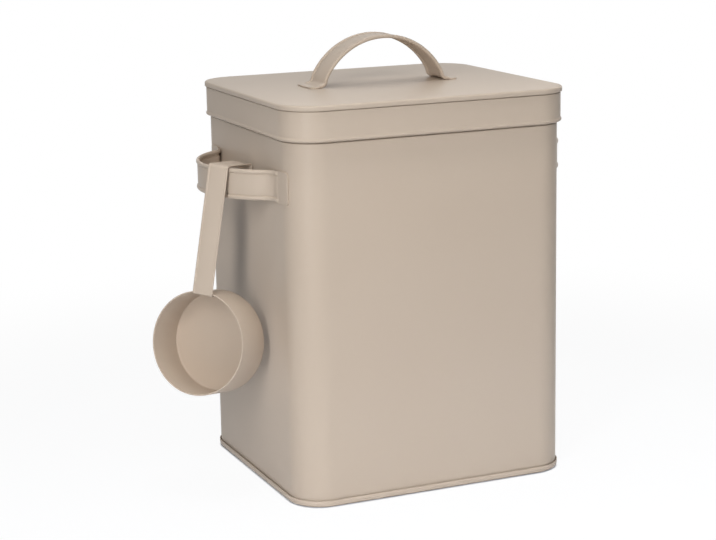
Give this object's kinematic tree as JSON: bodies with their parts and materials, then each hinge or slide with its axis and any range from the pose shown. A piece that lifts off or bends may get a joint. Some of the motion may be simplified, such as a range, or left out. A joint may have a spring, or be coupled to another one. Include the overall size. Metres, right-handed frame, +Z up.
{
  "type": "food storage tin",
  "caption": "Square-sided metal food storage tin with a slip-on handled lid, strap side handles and a scoop that hangs by its hook from one side handle.",
  "frame": {"origin": "centre of the base of the tin, on the surface that it stands on", "axes": "+Z up, -Y towards the wide front face, -X towards the side that the scoop hangs on"},
  "size_m": [0.3383, 0.2036, 0.3332],
  "materials": {
    "coated_steel": "warm beige powder coat, satin"
  },
  "bodies": {
    "tin": {"body_wall": "coated_steel", "base_panel": "coated_steel", "side_handle_left": "coated_steel", "side_handle_right": "coated_steel"},
    "lid": {"lid_panel": "coated_steel", "lid_skirt": "coated_steel", "lid_handle": "coated_steel"},
    "scoop": {"scoop_cup": "coated_steel", "scoop_strap": "coated_steel"}
  },
  "joints": [
    {"name": "lid_lift", "type": "slide", "parent": "tin", "child": "lid", "axis": [0, 0, 1], "range_m": [0, 0.2]},
    {"name": "scoop_lift", "type": "slide", "parent": "tin", "child": "scoop", "axis": [-0.5448, -0.4507, 0.7071], "range_m": [0, 0.2]}
  ]
}
